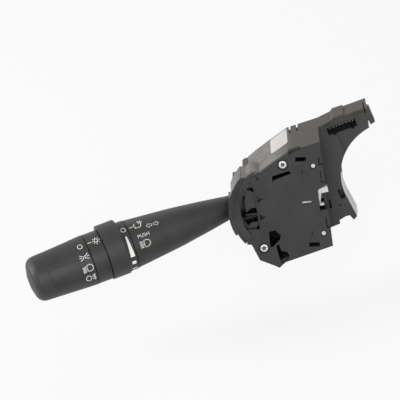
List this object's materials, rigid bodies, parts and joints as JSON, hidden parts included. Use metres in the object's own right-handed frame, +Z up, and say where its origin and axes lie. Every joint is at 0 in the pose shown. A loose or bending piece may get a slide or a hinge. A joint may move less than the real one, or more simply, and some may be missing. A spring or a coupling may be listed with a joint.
{
  "type": "combination stalk switch",
  "caption": "Steering column stalk switch: tapered lever with rotary light knob and dimmer ring, tilting in a moulded housing with column bracket, connector and inner mechanism.",
  "frame": {"origin": "midway between the two fixing holes, on the rear mounting face", "axes": "+X from the lever tip towards the steering column, +Y away from the driver, +Z up"},
  "size_m": [0.232, 0.0824, 0.0906],
  "materials": {
    "housing": "matte, fine grain",
    "plate": "matte",
    "cover": "matte, fine grain",
    "lever": "satin, fine grain",
    "white": "smooth",
    "inner": "smooth",
    "zinc": "zinc plated",
    "spring": "bright drawn wire",
    "tin": "tinned",
    "board": "lacquered board",
    "paper": "bare film"
  },
  "bodies": {
    "housing": {"rear_case": "housing", "front_plate": "plate", "top_cover": "cover", "stalk_shroud": "plate", "column_bracket": "housing", "connector_socket": "plate", "connector_pins": "tin", "plate_screws": "zinc", "label": "paper", "seat_liner": "paper", "contact_carrier": "white", "circuit_board": "board", "detent_track": "inner"},
    "turn_carrier": {"turn_yoke": "inner", "dust_shutter": "inner", "beam_pin": "zinc", "plunger_spring": "spring"},
    "detent_pin": {"turn_plunger": "inner"},
    "lever": {"lever_root": "inner", "beam_spring": "spring", "stalk_shell": "lever", "core_tube": "inner", "tube_cap": "inner", "fixed_collar": "lever", "dimmer_board": "board", "knob_board": "board"},
    "dimmer": {"dimmer_ring": "lever", "dimmer_wiper": "inner"},
    "light_knob": {"end_knob": "lever", "knob_rotor": "inner"},
    "turn_contact": {"turn_slider": "white"},
    "beam_contact": {"beam_slider": "white"},
    "cancel_part": {"cancel_pawl": "white"}
  },
  "joints": [
    {"name": "turn_signal", "type": "hinge", "parent": "housing", "child": "turn_carrier", "pos_m": [-0.037, -0.023, -0.0028], "axis": [0, 1, 0], "range_deg": [-12, 12]},
    {"name": "beam", "type": "hinge", "parent": "turn_carrier", "child": "lever", "pos_m": [-0.037, -0.023, -0.0028], "axis": [-0.1469, 0, 0.9891], "range_deg": [-5, 6], "stiffness_Nm_per_rad": 1.5},
    {"name": "dimmer", "type": "hinge", "parent": "lever", "child": "dimmer", "pos_m": [-0.14159, -0.05332, -0.01834], "axis": [-0.9508, -0.2756, -0.1413], "range_deg": [0, 108]},
    {"name": "light_switch", "type": "hinge", "parent": "lever", "child": "light_knob", "pos_m": [-0.16536, -0.06021, -0.02187], "axis": [-0.9508, -0.2756, -0.1413], "range_deg": [0, 78]},
    {"name": "turn_slide", "type": "slide", "parent": "housing", "child": "turn_contact", "axis": [0, 0, 1], "range_m": [-0.0039, 0.0039]},
    {"name": "beam_slide", "type": "slide", "parent": "housing", "child": "beam_contact", "axis": [0, 1, 0], "range_m": [-0.0024, 0.0028]},
    {"name": "cancel", "type": "slide", "parent": "housing", "child": "cancel_part", "axis": [-1, 0, 0], "range_m": [0, 0.0025], "stiffness_N_per_m": 300},
    {"name": "detent", "type": "slide", "parent": "turn_carrier", "child": "detent_pin", "axis": [-0.1469, 0, 0.9891], "range_m": [0, 0.0012], "stiffness_N_per_m": 400, "deforming": ["plunger_spring"]}
  ],
  "couplings": [
    {"joint": "turn_slide", "follows": "turn_signal", "m_per_rad": -0.018},
    {"joint": "beam_slide", "follows": "beam", "m_per_rad": 0.025}
  ]
}
